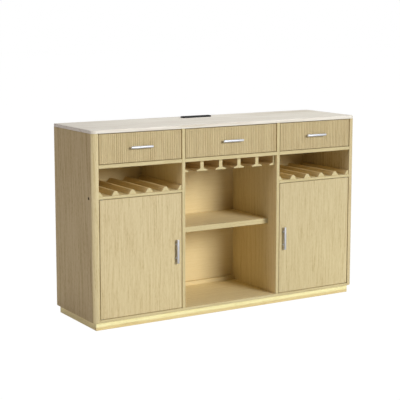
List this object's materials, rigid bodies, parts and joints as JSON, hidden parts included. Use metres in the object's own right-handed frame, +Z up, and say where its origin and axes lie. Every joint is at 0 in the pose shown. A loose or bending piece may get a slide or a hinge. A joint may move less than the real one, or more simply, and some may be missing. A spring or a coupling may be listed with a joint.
{
  "type": "buffet cabinet",
  "caption": "Low oak buffet cabinet with rounded front edges, reeded drawers, cupboard doors, bottle racks, a hanging stemware rack and a pale stone top on a recessed plinth.",
  "frame": {"origin": "on the floor, in the middle of the overall box, handles included", "axes": "+X to the right along the front, +Y from front to back, +Z up"},
  "size_m": [1.45, 0.417, 0.9073],
  "materials": {
    "oak_front": "lacquered oak veneer, upright grain",
    "oak_carcass": "lacquered oak veneer",
    "oak_reeded": "reeded oak, lacquered",
    "oak_inner": "oak veneer",
    "oak_plinth": "oak veneer, grain along the board",
    "drawer_plywood": "clear lacquered plywood",
    "stone_top": "honed pale stone with fine streaks",
    "chrome": "polished",
    "zinc_steel": "zinc plated",
    "black_plastic": "moulded, fine texture"
  },
  "bodies": {
    "carcass": {"plinth_front": "oak_plinth", "plinth_left": "oak_plinth", "plinth_right": "oak_plinth", "plinth_back": "oak_plinth", "bottom_panel": "oak_carcass", "left_side_panel": "oak_carcass", "right_side_panel": "oak_carcass", "left_divider": "oak_carcass", "right_divider": "oak_carcass", "left_drawer_deck": "oak_carcass", "centre_drawer_deck": "oak_carcass", "right_drawer_deck": "oak_carcass", "left_bottle_shelf": "oak_carcass", "right_bottle_shelf": "oak_carcass", "top_panel": "stone_top", "power_module": "black_plastic", "back_panel": "oak_inner", "back_batten": "oak_inner", "centre_shelf": "oak_inner", "left_bottle_rail_1": "oak_inner", "left_bottle_rail_2": "oak_inner", "left_bottle_rail_3": "oak_inner", "left_bottle_rail_4": "oak_inner", "left_bottle_rail_5": "oak_inner", "left_bottle_rail_6": "oak_inner", "right_bottle_rail_1": "oak_inner", "right_bottle_rail_2": "oak_inner", "right_bottle_rail_3": "oak_inner", "right_bottle_rail_4": "oak_inner", "right_bottle_rail_5": "oak_inner", "right_bottle_rail_6": "oak_inner", "stemware_rail_1": "oak_inner", "stemware_rail_2": "oak_inner", "stemware_rail_3": "oak_inner", "stemware_rail_4": "oak_inner", "stemware_rail_5": "oak_inner", "stemware_rail_6": "oak_inner", "left_door_lower_pivot": "zinc_steel", "left_door_upper_pivot": "zinc_steel", "right_door_lower_pivot": "zinc_steel", "right_door_upper_pivot": "zinc_steel", "left_drawer_runner_left": "zinc_steel", "left_drawer_runner_right": "zinc_steel", "centre_drawer_runner_left": "zinc_steel", "centre_drawer_runner_right": "zinc_steel", "right_drawer_runner_left": "zinc_steel", "right_drawer_runner_right": "zinc_steel"},
    "left_door": {"left_door": "oak_front", "left_door_handle": "chrome"},
    "right_door": {"right_door": "oak_front", "right_door_handle": "chrome"},
    "left_drawer": {"left_drawer_front": "oak_reeded", "left_drawer_box": "drawer_plywood", "left_drawer_handle": "chrome"},
    "centre_drawer": {"centre_drawer_front": "oak_reeded", "centre_drawer_box": "drawer_plywood", "centre_drawer_handle": "chrome"},
    "right_drawer": {"right_drawer_front": "oak_reeded", "right_drawer_box": "drawer_plywood", "right_drawer_handle": "chrome"}
  },
  "joints": [
    {"name": "left_door_hinge", "type": "hinge", "parent": "carcass", "child": "left_door", "pos_m": [-0.67856, -0.1815, 0.322], "axis": [0, 0, -1], "range_deg": [0, 110]},
    {"name": "right_door_hinge", "type": "hinge", "parent": "carcass", "child": "right_door", "pos_m": [0.67856, -0.1815, 0.322], "axis": [0, 0, 1], "range_deg": [0, 110]},
    {"name": "left_drawer_slide", "type": "slide", "parent": "carcass", "child": "left_drawer", "axis": [0, -1, 0], "range_m": [0, 0.24]},
    {"name": "centre_drawer_slide", "type": "slide", "parent": "carcass", "child": "centre_drawer", "axis": [0, -1, 0], "range_m": [0, 0.24]},
    {"name": "right_drawer_slide", "type": "slide", "parent": "carcass", "child": "right_drawer", "axis": [0, -1, 0], "range_m": [0, 0.24]}
  ]
}
